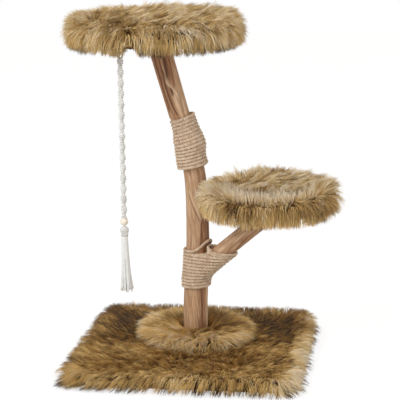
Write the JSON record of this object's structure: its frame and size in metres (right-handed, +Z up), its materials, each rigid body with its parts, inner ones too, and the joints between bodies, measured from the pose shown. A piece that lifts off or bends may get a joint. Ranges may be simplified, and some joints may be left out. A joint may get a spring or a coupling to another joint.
{
  "type": "cat tree",
  "caption": "Free-standing cat tree: driftwood trunk with a lashed side limb, round fur perches, a square fur base and a hanging cord toy.",
  "frame": {"origin": "on the floor under the middle of the square base, at the felt backing's underside", "axes": "+Z up, +X to the right with the side perch, +Y to the back; the toy hangs at the front left"},
  "size_m": [0.5705, 0.476, 0.7236],
  "materials": {
    "felt": "pressed grey-black felt",
    "plywood": "sanded birch plywood",
    "fur": "long pile faux fur, tan with dark tips",
    "driftwood": "stripped, weathered driftwood with grooves and knots",
    "beech": "turned, unfinished beech",
    "jute": "twisted natural jute rope",
    "foam": "open cell upholstery foam",
    "cotton": "undyed cotton cord",
    "steel": "zinc plated steel",
    "black_steel": "black powder coat"
  },
  "bodies": {
    "stand": {"base_backing": "felt", "base_board": "plywood", "base_cover": "fur", "base_staples": "steel", "plinth_disc": "plywood", "plinth_cover": "fur", "plinth_screws": "steel", "foot_bolt": "steel", "foot_washer": "steel", "trunk": "driftwood", "side_branch": "driftwood", "fork_dowels": "beech", "fork_screw": "steel", "upper_lashing": "jute", "lower_lashing": "jute", "top_flange": "black_steel", "top_trunk_screws": "steel", "top_board_screws": "steel", "top_board": "plywood", "top_pad": "foam", "top_cover": "fur", "top_staples": "steel", "side_flange": "black_steel", "side_branch_screws": "steel", "side_board_screws": "steel", "side_board": "plywood", "side_pad": "foam", "side_cover": "fur", "side_staples": "steel", "toy_eye": "steel"},
    "ring": {"toy_ring": "steel"},
    "toy": {"toy_cord": "cotton", "toy_knot": "cotton", "toy_tassel": "cotton"},
    "bead": {"toy_bead": "beech"}
  },
  "joints": [
    {"name": "ring_swing", "type": "hinge", "parent": "stand", "child": "ring", "pos_m": [-0.1315, -0.06, 0.6555], "axis": [1, 0, 0], "range_deg": [-35, 6]},
    {"name": "toy_swing", "type": "hinge", "parent": "ring", "child": "toy", "pos_m": [-0.1315, -0.06, 0.6468], "axis": [0, 1, 0], "range_deg": [-13, 50]},
    {"name": "bead_spin", "type": "hinge", "parent": "toy", "child": "bead", "pos_m": [-0.1315, -0.06, 0.3057], "axis": [0, 0, 1], "continuous": true}
  ]
}
